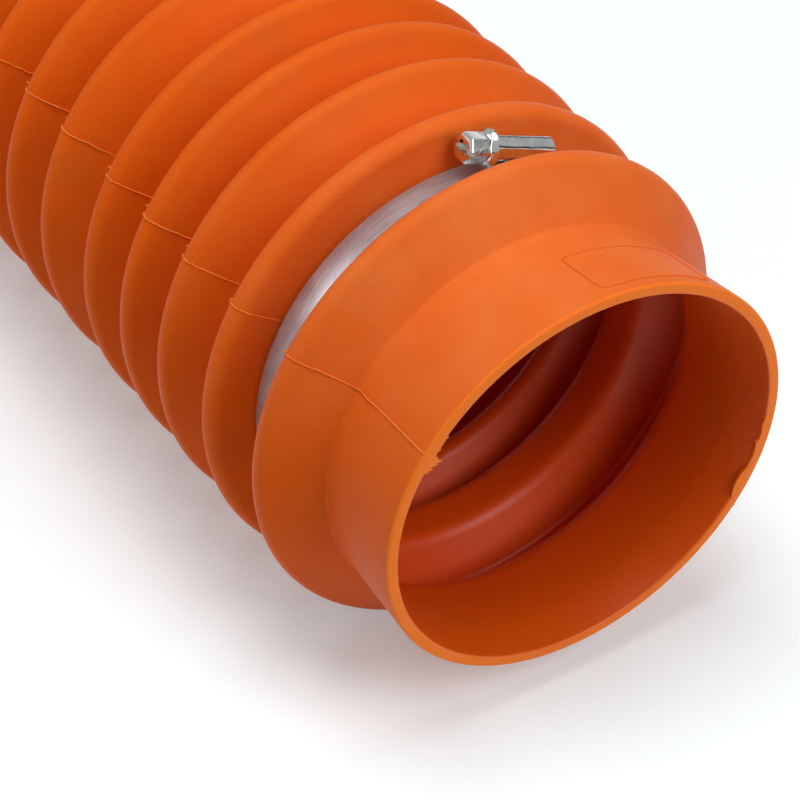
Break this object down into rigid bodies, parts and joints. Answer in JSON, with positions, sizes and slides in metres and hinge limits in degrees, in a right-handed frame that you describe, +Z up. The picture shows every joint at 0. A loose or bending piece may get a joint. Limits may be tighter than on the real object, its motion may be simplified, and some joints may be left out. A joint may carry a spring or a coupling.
{
  "type": "flexible vent pipe",
  "caption": "Moulded flexible bellows pipe for vent air, with plain cuffs at both ends and a worm-drive hose clamp in its first groove.",
  "frame": {"origin": "on the floor under the middle of the pipe, which lies on its side", "axes": "+X along the pipe towards its clamped end, +Z up"},
  "size_m": [0.2918, 0.141, 0.1406],
  "materials": {
    "pipe": "matt soft elastomer, smooth",
    "strip": "brushed",
    "zinc": "bright zinc plated"
  },
  "bodies": {
    "pipe": {"bellows": "pipe", "clamp_band": "strip", "clamp_housing": "zinc", "clamp_saddle": "zinc"},
    "screw": {"clamp_screw": "zinc"}
  },
  "joints": [
    {"name": "clamp_screw_turn", "type": "hinge", "parent": "pipe", "child": "screw", "pos_m": [0.0884, 0.02349, 0.12813], "axis": [0, -0.9272, 0.3746], "continuous": true}
  ]
}
